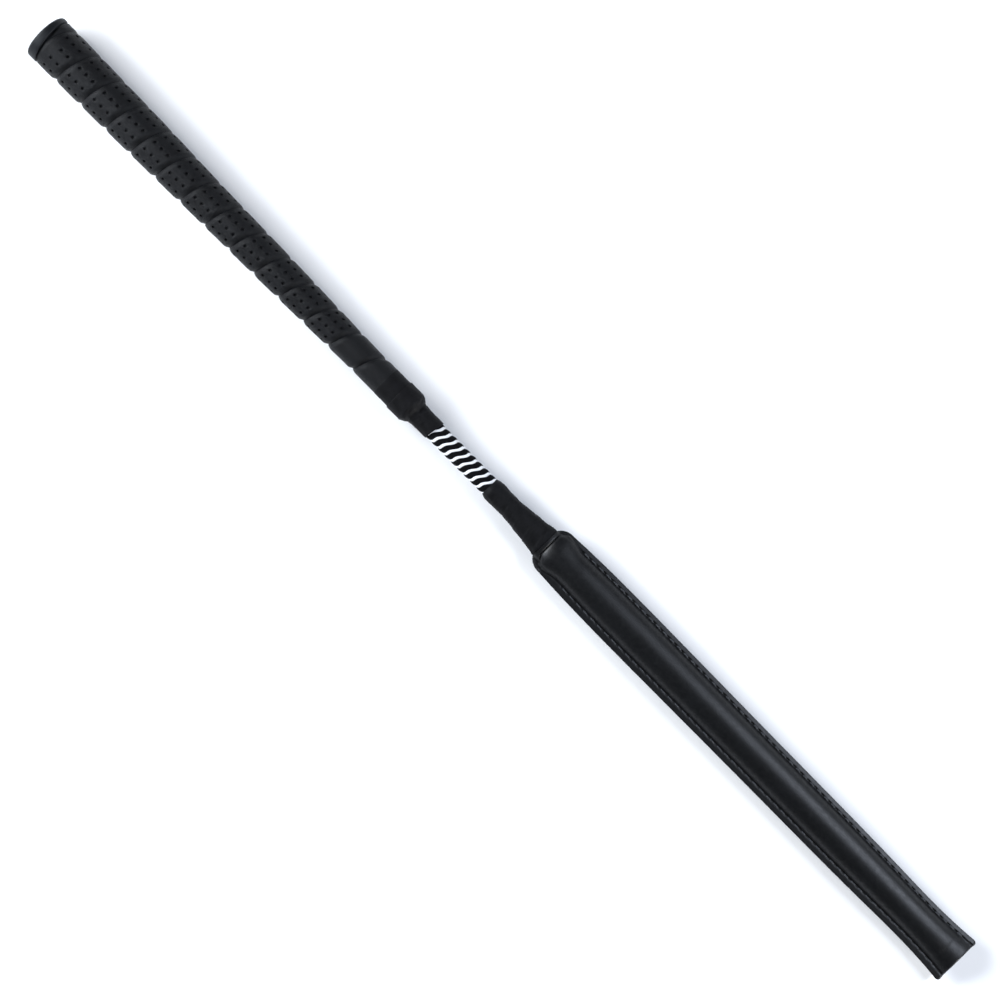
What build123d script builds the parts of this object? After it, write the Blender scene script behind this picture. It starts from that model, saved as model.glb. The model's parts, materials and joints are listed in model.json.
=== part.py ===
from build123d import *
import math
import os

# Padded riding crop, lying on a flat surface. Every shape is made about the crop's own axis, with
# "station" meaning millimetres from the butt end along X, and is laid down only when it is written.

# ---- driving dimensions, mm ----
LENGTH = 700.0

# butt cap
CAP_RADIUS = 13.5
CAP_THICKNESS = 6.2
CAP_EDGE_ROUND = 1.6
CAP_SPIGOT_RADIUS = 6.0
CAP_SPIGOT_LENGTH = 14.0

# handle: (station, outer radius) of the wound grip, thickest at the butt
GRIP_SURFACE = [(6.6, 13.5), (80.0, 12.4), (132.0, 11.1), (184.0, 10.25), (236.0, 9.0), (260.4, 8.75)]
WRAP_THICKNESS = 2.0
UNDER_TAPE_THICKNESS = 0.3
WRAP_TAIL_RADIUS = 8.3
WRAP_TAIL_END = 279.5
CORE_TAIL_RADIUS = 6.0
CORE_END = 283.5

# tapes that finish the handle
BAND_START = 260.4
BAND_END = 277.5
BAND_RADIUS = 8.9
SHOULDER_START = 270.7
SHOULDER_SURFACE = [
    (270.7, 9.4),
    (280.4, 9.4),
    (281.6, 8.9),
    (282.9, 7.6),
    (284.0, 6.7),
    (286.6, 6.4),
    (298.0, 6.2),
]
SHOULDER_END = 298.0

# shaft: tapered fibreglass rod and its braided cover
ROD_SURFACE = [(7.0, 4.9), (255.0, 4.6), (345.0, 4.4), (382.8, 4.2), (592.0, 2.7)]
TIP_CAP_LENGTH = 10.0
TIP_CAP_RADIUS = 3.4
TIP_CAP_END = 594.5
BRAID_START = 285.5
BRAID_END = 354.0
BRAID_RADIUS = 5.4
LASHING_HEIGHT = 0.4
UPPER_LASHING = (288.5, 294.5)
LOWER_LASHING = (342.0, 348.0)

# neck: (station, half width, half thickness) of the binding tape, round on the shaft, flat at the flap
NECK_SECTIONS = [
    (340.0, 6.3, 6.3),
    (346.0, 6.4, 6.4),
    (351.0, 6.15, 6.15),
    (357.5, 6.2, 6.15),
    (362.0, 6.6, 6.2),
    (368.5, 7.4, 6.2),
    (375.5, 8.05, 6.1),
    (382.8, 9.35, 6.0),
]
NECK_TAPE_THICKNESS = 0.55
NECK_LASHING = (360.0, 368.0)
TAB_START = 354.5

# flap: plan edge as (station, half width), with a round shoulder before it and a flared tip after it
FLAP_START = 382.8
SHOULDER_MIDDLE = (385.4, 12.0)
FLAP_EDGE = [
    (391.5, 13.5),
    (404.0, 14.1),
    (420.0, 14.5),
    (470.0, 14.6),
    (560.0, 14.2),
    (640.0, 13.75),
    (672.0, 13.4),
]
TIP_HALF_WIDTH = 14.8
TIP_CORNER = 2.0
TIP_HOLLOW = 1.0
LEATHER = 1.3

# padding: (station, crown height) of the raised middle, which fills the flap between its stitch rows
PAD_CROWN = [
    (382.8, 5.9),
    (385.4, 6.6),
    (391.5, 7.4),
    (408.0, 8.0),
    (560.0, 8.0),
    (650.0, 8.0),
    (672.0, 7.7),
    (688.0, 7.1),
    (695.0, 6.0),
    (699.0, 4.2),
]
FOAM_GAP = 0.05

# stitching: a row of thread on each face, near each long edge
STITCH_INSET_RIGHT = 3.8
STITCH_INSET_LEFT = 2.6
PAD_INSET = (STITCH_INSET_RIGHT + STITCH_INSET_LEFT) / 2
PAD_SHIFT = (STITCH_INSET_RIGHT - STITCH_INSET_LEFT) / 2
THREAD_WIDTH = 0.6
THREAD_HEIGHT = 0.3
STITCH_START = 393.0
STITCH_END = 694.0

# free end of the flap: it bends past the end of the rod, about an axis across the flap
HINGE_STATION = 605.0
SWING = 45.0
KNUCKLE_RADIUS = 8.0
KNUCKLE_GAP = 0.35

# how the crop lies: the butt cap's rim and the underside of the padding touch the surface
BUTT_CONTACT = (CAP_EDGE_ROUND, CAP_RADIUS)
FLAP_CONTACT = (650.0, 8.0)
LIE_ANGLE = math.degrees(
    math.atan2(BUTT_CONTACT[1] - FLAP_CONTACT[1], FLAP_CONTACT[0] - BUTT_CONTACT[0])
)
LIE_TURN = math.radians(LIE_ANGLE)
LIE_HEIGHT = BUTT_CONTACT[1] * math.cos(LIE_TURN) + BUTT_CONTACT[0] * math.sin(LIE_TURN)
LIE = Location((-LENGTH / 2, 0, LIE_HEIGHT)) * Rotation(0, LIE_ANGLE, 0)

WIDE = 60.0  # half size of the blocks that cut shapes apart


# ---- shapes turned about the axis ----
def radius_at(surface, station):
    """Radius of a turned surface at a station, straight between its points."""
    for (s0, r0), (s1, r1) in zip(surface, surface[1:]):
        if s0 <= station <= s1:
            return r0 + (r1 - r0) * (station - s0) / (s1 - s0)
    return surface[0][1] if station < surface[0][0] else surface[-1][1]


def stretch(surface, start, end, inset=0.0):
    """The part of a surface from start to end, set in by a constant amount."""
    inner = [(s, r - inset) for s, r in surface if start < s < end]
    first = (start, radius_at(surface, start) - inset)
    last = (end, radius_at(surface, end) - inset)
    return [first] + inner + [last]


def turned(outer, inner=None):
    """Solid of revolution about X between an outer and an inner outline, or down to the axis."""
    back = list(reversed(inner)) if inner else [(outer[-1][0], 0.0), (outer[0][0], 0.0)]
    outline = Polyline(*outer, *back, close=True)
    return revolve(make_face(outline), Axis.X)


# ---- blocks that cut ----
def slab(start, end):
    """Everything between two stations."""
    middle = (start + end) / 2
    return Pos(middle, 0, 0) * Box(end - start, 2 * WIDE, 2 * WIDE)


def side(up):
    """Everything above the crop's middle plane, or everything below it."""
    return Pos(LENGTH / 2, 0, WIDE / 2 * up) * Box(2 * LENGTH, 2 * WIDE, WIDE)


# ---- handle ----
def butt_cap():
    face_round = 0.6
    head = turned([(0.0, CAP_RADIUS), (CAP_THICKNESS, CAP_RADIUS)])
    head = fillet(head.edges().group_by(Axis.X)[0], CAP_EDGE_ROUND)
    head = fillet(head.edges().group_by(Axis.X)[-1], face_round)
    socket_end = CAP_THICKNESS + CAP_SPIGOT_LENGTH
    spigot = turned(
        [(CAP_THICKNESS - 1.0, CAP_SPIGOT_RADIUS), (socket_end, CAP_SPIGOT_RADIUS)],
        [(CAP_THICKNESS - 1.0, radius_at(ROD_SURFACE, 7.0)), (socket_end, radius_at(ROD_SURFACE, 7.0))],
    )
    return head + spigot


def rod():
    return turned(ROD_SURFACE)


def rod_tip_cap():
    start = TIP_CAP_END - TIP_CAP_LENGTH
    crown = 1.5
    outer = [(start, TIP_CAP_RADIUS), (TIP_CAP_END - crown, TIP_CAP_RADIUS), (TIP_CAP_END, TIP_CAP_RADIUS - crown)]
    return turned(outer) - rod()


def handle_core():
    skin = WRAP_THICKNESS + UNDER_TAPE_THICKNESS
    start = GRIP_SURFACE[0][0]
    spigot_end = CAP_THICKNESS + CAP_SPIGOT_LENGTH
    outer = stretch(GRIP_SURFACE, start, BAND_START, skin)
    outer += [(BAND_START + 2.0, CORE_TAIL_RADIUS), (WRAP_TAIL_END, CORE_TAIL_RADIUS), (CORE_END, BRAID_RADIUS)]
    inner = [(start, CAP_SPIGOT_RADIUS), (spigot_end, CAP_SPIGOT_RADIUS)]
    inner += stretch(ROD_SURFACE, spigot_end, CORE_END)
    return turned(outer, inner)


def grip_under_tape():
    start = GRIP_SURFACE[0][0]
    return turned(
        stretch(GRIP_SURFACE, start, BAND_START, WRAP_THICKNESS),
        stretch(GRIP_SURFACE, start, BAND_START, WRAP_THICKNESS + UNDER_TAPE_THICKNESS),
    )


def grip_wrap():
    start = GRIP_SURFACE[0][0]
    tail_outer = [(BAND_START, WRAP_TAIL_RADIUS), (WRAP_TAIL_END, WRAP_TAIL_RADIUS)]
    tail_inner = [(BAND_START + 2.0, CORE_TAIL_RADIUS), (WRAP_TAIL_END, CORE_TAIL_RADIUS)]
    under_end = (BAND_START, radius_at(GRIP_SURFACE, BAND_START) - WRAP_THICKNESS - UNDER_TAPE_THICKNESS)
    inner = stretch(GRIP_SURFACE, start, BAND_START, WRAP_THICKNESS) + [under_end] + tail_inner
    return turned(stretch(GRIP_SURFACE, start, BAND_START) + tail_outer, inner)


def finishing_band():
    return turned(
        [(BAND_START, BAND_RADIUS), (BAND_END, BAND_RADIUS)],
        [(BAND_START, WRAP_TAIL_RADIUS), (BAND_END, WRAP_TAIL_RADIUS)],
    )


def shoulder_tape():
    lashed = BRAID_RADIUS + LASHING_HEIGHT
    inner = [
        (SHOULDER_START, BAND_RADIUS),
        (BAND_END, BAND_RADIUS),
        (BAND_END, WRAP_TAIL_RADIUS),
        (WRAP_TAIL_END, WRAP_TAIL_RADIUS),
        (WRAP_TAIL_END, CORE_TAIL_RADIUS),
        (CORE_END, lashed),
        (UPPER_LASHING[1], lashed),
        (UPPER_LASHING[1], BRAID_RADIUS),
        (SHOULDER_END, BRAID_RADIUS),
    ]
    return turned(SHOULDER_SURFACE, inner)


# ---- shaft ----
def on_rod(start, end, radius):
    """A plain sleeve that fits the rod."""
    return turned([(start, radius), (end, radius)], stretch(ROD_SURFACE, start, end))


def braided_sleeve():
    return on_rod(BRAID_START, BRAID_END, BRAID_RADIUS)


def lashing(span):
    start, end = span
    outer = BRAID_RADIUS + LASHING_HEIGHT
    return turned([(start, outer), (end, outer)], [(start, BRAID_RADIUS), (end, BRAID_RADIUS)])


# ---- neck ----
def neck_solid(inset):
    """The neck's outer shape, set in all round."""
    across = Plane.YZ
    sections = [
        across.offset(s) * Ellipse(half_width - inset, half_thickness - inset)
        for s, half_width, half_thickness in NECK_SECTIONS
    ]
    return loft(sections, ruled=True)


def neck_lashing():
    ring = neck_solid(NECK_TAPE_THICKNESS) - neck_solid(NECK_TAPE_THICKNESS + LASHING_HEIGHT)
    return ring & slab(*NECK_LASHING)


def neck_binding_tape():
    tape = neck_solid(0.0) - neck_solid(NECK_TAPE_THICKNESS)
    return tape - lashing(LOWER_LASHING) - braided_sleeve()


def neck_tab(up):
    """Leather tongue of the flap, laid along the shaft and bound under the tape."""
    shape = neck_solid(NECK_TAPE_THICKNESS) & slab(TAB_START, FLAP_START)
    shape = shape - neck_lashing() - rod()
    return shape & side(up)


# ---- flap ----
def flap_outline():
    """Plan shape: round shoulders at the neck, nearly straight sides, a flared square tip."""
    mouth = NECK_SECTIONS[-1][1]
    tip_start = (LENGTH - TIP_CORNER, TIP_HALF_WIDTH)

    def edge(sign):
        shoulder = ThreePointArc(
            (FLAP_START, sign * mouth),
            (SHOULDER_MIDDLE[0], sign * SHOULDER_MIDDLE[1]),
            (FLAP_EDGE[0][0], sign * FLAP_EDGE[0][1]),
        )
        long_side = Spline(*[(s, sign * w) for s, w in FLAP_EDGE], (tip_start[0], sign * tip_start[1]))
        corner = ThreePointArc(
            (tip_start[0], sign * tip_start[1]),
            (LENGTH - 0.3 * TIP_CORNER, sign * (TIP_HALF_WIDTH - 0.25 * TIP_CORNER)),
            (LENGTH, sign * (TIP_HALF_WIDTH - TIP_CORNER)),
        )
        return [shoulder, long_side, corner]

    inner_width = TIP_HALF_WIDTH - TIP_CORNER
    end = ThreePointArc((LENGTH, inner_width), (LENGTH - TIP_HOLLOW, 0), (LENGTH, -inner_width))
    mouth_line = Line((FLAP_START, mouth), (FLAP_START, -mouth))
    return make_face(edge(1) + [end] + edge(-1) + [mouth_line])


def flap_edge_at(station):
    """Half width of the flap, taking its round shoulder as straight lines."""
    mouth = (FLAP_START, NECK_SECTIONS[-1][1])
    tip = (LENGTH - TIP_CORNER, TIP_HALF_WIDTH)
    return radius_at([mouth, SHOULDER_MIDDLE] + FLAP_EDGE + [tip], station)


def padding(thinner):
    """The raised middle of the flap, or the space inside it when made thinner."""
    sections = []
    for s, crown in PAD_CROWN:
        half_width = flap_edge_at(s) - PAD_INSET
        left = (s, PAD_SHIFT + half_width - thinner, 0)
        right = (s, PAD_SHIFT - half_width + thinner, 0)
        over = ThreePointArc(right, (s, PAD_SHIFT, crown - thinner), left)
        under = ThreePointArc(left, (s, PAD_SHIFT, thinner - crown), right)
        sections.append(make_face([over, under]))
    return loft(sections, ruled=True)


def padding_space(thinner):
    """Room inside the cover: the padding without the leather at its mouth and its folded tip."""
    return padding(thinner) & slab(FLAP_START + LEATHER, PAD_CROWN[-2][0])


def flap_shell():
    rim = extrude(flap_outline(), LEATHER, both=True)
    return rim + padding(0.0) - padding_space(LEATHER) - rod()


def foam_solid():
    return padding_space(LEATHER + FOAM_GAP) - rod() - rod_tip_cap()


def thread_row(sign, inset):
    """Thread along one long edge, on the upper and the lower face of the rim."""
    stations = [STITCH_START] + [s for s, _ in FLAP_EDGE if STITCH_START < s < STITCH_END] + [STITCH_END]
    outer = [(s, sign * (flap_edge_at(s) - inset + THREAD_WIDTH / 2)) for s in stations]
    inner = [(s, sign * (flap_edge_at(s) - inset - THREAD_WIDTH / 2)) for s in reversed(stations)]
    row = extrude(make_face(Polyline(*outer, *inner, close=True)), THREAD_HEIGHT)
    upper = Pos(0, 0, LEATHER) * row
    lower = Pos(0, 0, -LEATHER - THREAD_HEIGHT) * row
    return [upper, lower]


# ---- the bend past the rod's end ----
def free_end_space():
    """The half-round knuckle and everything beyond it."""
    knuckle = Pos(HINGE_STATION, 0, 0) * Rotation(90, 0, 0) * Cylinder(KNUCKLE_RADIUS, 2 * WIDE)
    return knuckle + slab(HINGE_STATION, LENGTH + WIDE)


def bend_clearance():
    """What the free end sweeps between its limits, with a gap all round."""
    reach = KNUCKLE_RADIUS + KNUCKLE_GAP
    turn = math.radians(SWING + 1.0)
    touch = (-reach * math.sin(turn), reach * math.cos(turn))
    past_tip = LENGTH / 4
    far = (touch[0] + past_tip * math.cos(turn), touch[1] + past_tip * math.sin(turn))
    corners = [touch, far, (far[0], -far[1]), (touch[0], -touch[1])]
    wedge_face = make_face(Plane.XZ * Polyline(*corners, close=True))
    wedge = extrude(wedge_face, WIDE, both=True)
    round_seat = Rotation(90, 0, 0) * Cylinder(reach, 2 * WIDE)
    return Pos(HINGE_STATION, 0, 0) * (wedge + round_seat)


def near(shape):
    return shape - bend_clearance()


def free(shape):
    return shape & free_end_space()


def gathered(shapes, fit):
    """Several separate solids of one node, each fitted to one side of the bend."""
    solids = [solid for shape in shapes for solid in fit(shape).solids()]
    return Compound(children=solids)


# ---- write the sub-parts ----
def main():
    os.makedirs("parts", exist_ok=True)
    shell = flap_shell()
    foam = foam_solid()
    left_rows = thread_row(1, STITCH_INSET_LEFT)
    right_rows = thread_row(-1, STITCH_INSET_RIGHT)
    front_tab = neck_tab(1)
    back_tab = neck_tab(-1)

    nodes = {
        "butt_cap": butt_cap(),
        "rod": rod(),
        "rod_tip_cap": rod_tip_cap(),
        "handle_core": handle_core(),
        "grip_under_tape": grip_under_tape(),
        "grip_wrap": grip_wrap(),
        "finishing_band": finishing_band(),
        "shoulder_tape": shoulder_tape(),
        "braided_sleeve": braided_sleeve(),
        "upper_lashing": lashing(UPPER_LASHING),
        "lower_lashing": lashing(LOWER_LASHING),
        "neck_lashing": neck_lashing(),
        "neck_binding_tape": neck_binding_tape(),
        "neck_tab_front": front_tab,
        "neck_tab_back": back_tab,
        "flap_cover_front": near(shell) & side(1),
        "flap_cover_back": near(shell) & side(-1),
        "flap_foam_front": near(foam) & side(1),
        "flap_foam_back": near(foam) & side(-1),
        "flap_stitching_left": gathered(left_rows, near),
        "flap_stitching_right": gathered(right_rows, near),
        "flap_end_cover": free(shell),
        "flap_end_foam_front": free(foam) & side(1),
        "flap_end_foam_back": free(foam) & side(-1),
        "flap_end_stitching_left": gathered(left_rows, free),
        "flap_end_stitching_right": gathered(right_rows, free),
    }
    for name, shape in nodes.items():
        export_step(LIE * shape, f"parts/{name}.step")

    hinge = LIE * Location((HINGE_STATION, 0, 0))
    print("hinge at", [round(v, 4) for v in hinge.position])
    print("lie angle", round(LIE_ANGLE, 5), "height", round(LIE_HEIGHT, 4))


main()
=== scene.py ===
import json
import math

import bmesh
import bpy
import numpy as np
from mathutils import Matrix, Vector, noise
from mathutils.bvhtree import BVHTree


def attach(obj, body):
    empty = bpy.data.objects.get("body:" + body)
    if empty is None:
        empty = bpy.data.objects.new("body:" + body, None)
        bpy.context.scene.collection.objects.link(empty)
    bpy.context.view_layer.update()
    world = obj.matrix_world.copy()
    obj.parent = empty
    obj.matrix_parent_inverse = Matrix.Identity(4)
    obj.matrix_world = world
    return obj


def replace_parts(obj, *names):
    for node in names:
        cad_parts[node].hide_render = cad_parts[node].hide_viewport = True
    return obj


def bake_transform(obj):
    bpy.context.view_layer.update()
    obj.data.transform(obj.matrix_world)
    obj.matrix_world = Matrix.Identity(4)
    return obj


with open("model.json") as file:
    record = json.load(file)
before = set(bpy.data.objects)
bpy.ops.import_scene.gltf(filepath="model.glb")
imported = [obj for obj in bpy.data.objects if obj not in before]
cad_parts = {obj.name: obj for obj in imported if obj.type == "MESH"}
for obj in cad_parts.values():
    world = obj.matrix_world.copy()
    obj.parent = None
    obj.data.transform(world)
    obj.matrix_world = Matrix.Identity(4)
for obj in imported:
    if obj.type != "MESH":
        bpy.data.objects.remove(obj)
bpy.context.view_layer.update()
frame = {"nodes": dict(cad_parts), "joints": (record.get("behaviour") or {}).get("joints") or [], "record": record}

# ------------------------------------------------------------------------------------------------
# The crop's own space. Shapes are made in millimetres about the crop's axis: station s runs from the
# butt face towards the tip, y is across the flap, z is up. place() lays them down in the row frame.
# ------------------------------------------------------------------------------------------------
MM = 0.001
mounts = {m["name"]: m for m in frame["record"]["mounts"]}
BUTT = Vector(mounts["butt_face"]["pos_m"])
ALONG = -Vector(mounts["butt_face"]["axis"]).normalized()
ACROSS = Vector((0, 1, 0))
UPWARD = ALONG.cross(ACROSS)
TURN = np.array([ALONG, ACROSS, UPWARD]).T


def place(points):
    """Points of the crop's own space, in mm, to the row frame, in metres."""
    flat = np.asarray(points, float).reshape(-1, 3)
    return flat * MM @ TURN.T + np.array(BUTT)


def own_points(node):
    """A CAD node's vertices in the crop's own space, in mm."""
    co = np.array([v.co for v in frame["nodes"][node].data.vertices], float)
    return (co - np.array(BUTT)) @ TURN / MM


def span(node):
    """First and last station of a CAD node."""
    stations = own_points(node)[:, 0]
    return float(stations.min()), float(stations.max())


class Surface:
    """Outer surface of some CAD nodes, read by casting rays in towards the crop's axis."""

    OUTSIDE = 60.0

    def __init__(self, *nodes):
        self.trees = []
        for node in nodes:
            faces = [tuple(p.vertices) for p in frame["nodes"][node].data.polygons]
            self.trees.append(BVHTree.FromPolygons([Vector(p) for p in own_points(node)], faces))

    def reach(self, station, y, z, centre=0.0):
        """Distance from the axis to the surface in the direction (y, z); centre moves the axis in y."""
        way = Vector((0, y, z)).normalized()
        start = Vector((station, centre, 0)) + way * self.OUTSIDE
        hits = [tree.ray_cast(start, -way) for tree in self.trees]
        distances = [hit[3] for hit in hits if hit[0] is not None]
        return self.OUTSIDE - min(distances) if distances else 0.0

    def along(self, stations, y, z, centre=0.0):
        return np.array([self.reach(s, y, z, centre) for s in stations])


def smooth(low, high, x):
    t = np.clip((np.asarray(x, float) - low) / (high - low), 0, 1)
    return t * t * (3 - 2 * t)


def bell(away, width):
    """1 where away is 0, falling smoothly to nothing about two widths off."""
    return np.exp(-((away / width) ** 2))


def softened(values, count):
    """Values averaged with their neighbours, over an odd count of them."""
    spread = np.hanning(count) / np.hanning(count).sum()
    return np.convolve(np.pad(values, count // 2, mode="edge"), spread, mode="valid")


def lumps(a, b, c=0.0):
    """Smooth noise, about -1 to 1, the same in every run."""
    return noise.noise(Vector((a, b, c)))


def lump_grid(a, b, scale_a, scale_b, seed=0.0):
    """Smooth noise over two arrays of one shape."""
    flat_a, flat_b = np.ravel(a), np.ravel(b)
    values = [noise.noise(Vector((p / scale_a, q / scale_b, seed))) for p, q in zip(flat_a, flat_b)]
    return np.array(values).reshape(np.shape(a))


# ------------------------------------------------------------------------------------------------
# Camera
# ------------------------------------------------------------------------------------------------
FIELD = 0.5383        # metres across the picture at the crop's height
CAMERA_DISTANCE = 1.30
AXIS_TURN = 45.45     # degrees from the picture's horizontal down to the crop's axis
AIM_UP = -0.0002      # the picture's centre from the crop's middle, up and to the right in the picture
AIM_RIGHT = -0.00125
SENSOR = 36.0


def make_camera():
    middle = Vector(place([(350.0, 0, 0)])[0])
    turn = math.radians(AXIS_TURN)
    picture_up = Vector((-math.sin(turn), math.cos(turn), 0))
    picture_right = Vector((math.cos(turn), math.sin(turn), 0))
    data = bpy.data.cameras.new("camera")
    data.sensor_width = SENSOR
    data.lens = SENSOR * CAMERA_DISTANCE / FIELD
    data.clip_start = 0.01
    camera = bpy.data.objects.new("camera", data)
    aim = middle + picture_up * AIM_UP + picture_right * AIM_RIGHT
    camera.location = aim + Vector((0, 0, CAMERA_DISTANCE))
    camera.rotation_euler = (0, 0, turn)
    bpy.context.scene.collection.objects.link(camera)
    bpy.context.scene.camera = camera


# ------------------------------------------------------------------------------------------------
# Meshes
# ------------------------------------------------------------------------------------------------
def mesh_piece(name, points, faces, loop_uv=None, smooth_angle=50.0):
    """A mesh from points in the crop's own space. loop_uv has one pair for each corner of each face."""
    data = bpy.data.meshes.new(name)
    data.from_pydata(place(points).tolist(), [], [list(map(int, f)) for f in faces])
    data.validate(clean_customdata=False)
    if loop_uv is not None:
        layer = data.uv_layers.new(name="UVMap")
        layer.data.foreach_set("uv", np.asarray(loop_uv, np.float32).ravel())
    data.shade_smooth()
    data.set_sharp_from_angle(angle=math.radians(smooth_angle))
    made = bpy.data.objects.new(name, data)
    bpy.context.scene.collection.objects.link(made)
    return made


def grid_faces(rows, columns, closed):
    """Quads of a grid of rows by columns of vertices, and each corner's (row, column) for its UV."""
    faces, corners = [], []
    for i in range(rows - 1):
        for j in range(columns if closed else columns - 1):
            k = (j + 1) % columns
            faces.append((i * columns + j, i * columns + k, (i + 1) * columns + k, (i + 1) * columns + j))
            corners.extend([(i, j), (i, j + 1), (i + 1, j + 1), (i + 1, j)])
    return faces, corners


def lathe_piece(name, stations, radii, around=144, bumps=None, half_ratio=None, slant=None):
    """A turned closed piece. stations and radii go round its outline once; bumps(s, angle) is added to
    each radius, half_ratio(s) widens it across y, for a section that isn't round, and slant(s, y) is
    added to each station."""
    angles = np.linspace(0, 2 * math.pi, around, endpoint=False)
    s, angle = np.meshgrid(stations, angles, indexing="ij")
    r = np.repeat(np.asarray(radii, float)[:, None], around, axis=1)
    if bumps is not None:
        r = r + bumps(s, angle)
    wide = half_ratio(s) if half_ratio is not None else 1.0
    points = np.stack([s, -r * wide * np.cos(angle), r * np.sin(angle)], axis=-1)
    if slant is not None:
        points[..., 0] += slant(s, points[..., 1])
    rows = len(stations)
    faces, corners = grid_faces(rows, around, True)
    last = (rows - 1) * around
    faces += [(last + j, last + (j + 1) % around, (j + 1) % around, j) for j in range(around)]
    corners += [c for j in range(around) for c in ((rows - 1, j), (rows - 1, j + 1), (0, j + 1), (0, j))]
    length = np.concatenate([[0], np.cumsum(np.hypot(np.diff(stations), np.diff(radii)))])
    girth = 2 * math.pi * float(np.max(radii))
    uv = [(length[i], j / around * girth) for i, j in corners]
    return mesh_piece(name, points, faces, uv)


# ------------------------------------------------------------------------------------------------
# Materials
# ------------------------------------------------------------------------------------------------
class Paint:
    """A material's node tree, built up by short calls. Texture places are in mm, from the UV map or
    from the object."""

    def __init__(self, name):
        self.material = bpy.data.materials.new(name)
        self.material.use_nodes = True
        self.tree = self.material.node_tree
        self.shader = self.tree.nodes["Principled BSDF"]
        self.coordinates = self.tree.nodes.new("ShaderNodeTexCoord")
        self.normal = None

    def node(self, kind, inputs=None, **settings):
        made = self.tree.nodes.new(kind)
        for key, value in settings.items():
            setattr(made, key, value)
        for key, value in (inputs or {}).items():
            if isinstance(value, bpy.types.NodeSocket):
                self.tree.links.new(value, made.inputs[key])
            else:
                made.inputs[key].default_value = value
        return made

    def place(self, source, stretch=(1, 1, 1)):
        """Texture place in mm: UV is in mm already, and object places are in metres."""
        unit = 1.0 if source == "UV" else 1.0 / MM
        scale = tuple(unit * x for x in stretch)
        inputs = {"Vector": self.coordinates.outputs[source], "Scale": scale}
        return self.node("ShaderNodeMapping", inputs).outputs[0]

    def noise(self, where, size, detail=3.0, rough=0.55):
        """Noise whose lumps are about size mm across."""
        inputs = {"Vector": where, "Scale": 1.0 / size, "Detail": detail, "Roughness": rough}
        return self.node("ShaderNodeTexNoise", inputs).outputs["Fac"]

    def cells(self, where, size, feature="DISTANCE_TO_EDGE"):
        inputs = {"Vector": where, "Scale": 1.0 / size}
        return self.node("ShaderNodeTexVoronoi", inputs, feature=feature).outputs["Distance"]

    def remap(self, value, low, high, to_low, to_high):
        inputs = {"Value": value, "From Min": low, "From Max": high, "To Min": to_low, "To Max": to_high}
        return self.node("ShaderNodeMapRange", inputs).outputs["Result"]

    def ramp(self, value, stops):
        made = self.node("ShaderNodeValToRGB", {"Fac": value})
        ramp = made.color_ramp
        while len(ramp.elements) < len(stops):
            ramp.elements.new(0.5)
        for element, (at, colour) in zip(ramp.elements, stops):
            element.position = at
            element.color = (*colour, 1.0)
        return made.outputs["Color"]

    def bump(self, height, depth, strength=1.0):
        """Adds a bump whose height 0..1 is depth mm."""
        inputs = {"Height": height, "Distance": depth * MM, "Strength": strength}
        if self.normal is not None:
            inputs["Normal"] = self.normal
        self.normal = self.node("ShaderNodeBump", inputs).outputs["Normal"]
        self.tree.links.new(self.normal, self.shader.inputs["Normal"])

    def feed(self, socket, value):
        if isinstance(value, bpy.types.NodeSocket):
            self.tree.links.new(value, self.shader.inputs[socket])
        else:
            self.shader.inputs[socket].default_value = value

    def finish(self, **sockets):
        for name, value in sockets.items():
            self.feed(name.replace("_", " "), value)
        return self.material


def grip_leather():
    """Perforated synthetic leather of the wound strip: matt, finely grained, faintly blue."""
    p = Paint("grip_leather")
    where = p.place("Object")
    cloud = p.noise(where, 9.0, detail=4)
    p.feed("Base Color", p.ramp(cloud, [(0.3, (0.0012, 0.0014, 0.0020)), (0.7, (0.0028, 0.0032, 0.0042))]))
    grain = p.cells(where, 0.42)
    p.bump(p.remap(grain, 0.0, 0.25, 0.0, 1.0), 0.07, 0.8)
    p.bump(p.noise(where, 1.6, detail=5, rough=0.6), 0.12, 0.5)
    p.feed("Roughness", p.remap(p.noise(where, 2.2), 0.3, 0.7, 0.43, 0.55))
    return p.finish(Specular_IOR_Level=0.18)


def cap_rubber():
    """Moulded rubber, satin, with the faint mottling of a worn mould."""
    p = Paint("cap_rubber")
    where = p.place("Object")
    mottle = p.noise(where, 6.0)
    p.feed("Base Color", p.ramp(mottle, [(0.35, (0.0030, 0.0038, 0.0050)), (0.7, (0.0056, 0.0068, 0.0086))]))
    p.bump(p.noise(where, 0.35, detail=4), 0.04, 0.6)
    p.bump(p.noise(where, 2.5, detail=2), 0.08, 0.3)
    p.feed("Roughness", p.remap(p.noise(where, 3.0), 0.3, 0.7, 0.46, 0.60))
    return p.finish(Specular_IOR_Level=0.22)


def binding_tape():
    """Stretched tape: matt, with fine threads along the winding and soft smears."""
    p = Paint("binding_tape")
    where = p.place("UV")
    cloud = p.noise(where, 5.0, detail=5)
    p.feed("Base Color", p.ramp(cloud, [(0.3, (0.0018, 0.0018, 0.0022)), (0.72, (0.0048, 0.0048, 0.0058))]))
    threads = p.noise(p.place("UV", (3.2, 0.35, 1.0)), 1.0, detail=3, rough=0.7)
    p.bump(threads, 0.07, 0.6)
    p.bump(p.noise(where, 0.25, detail=2), 0.03, 0.5)
    p.feed("Roughness", p.remap(cloud, 0.3, 0.7, 0.56, 0.72))
    return p.finish(Specular_IOR_Level=0.13)


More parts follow.
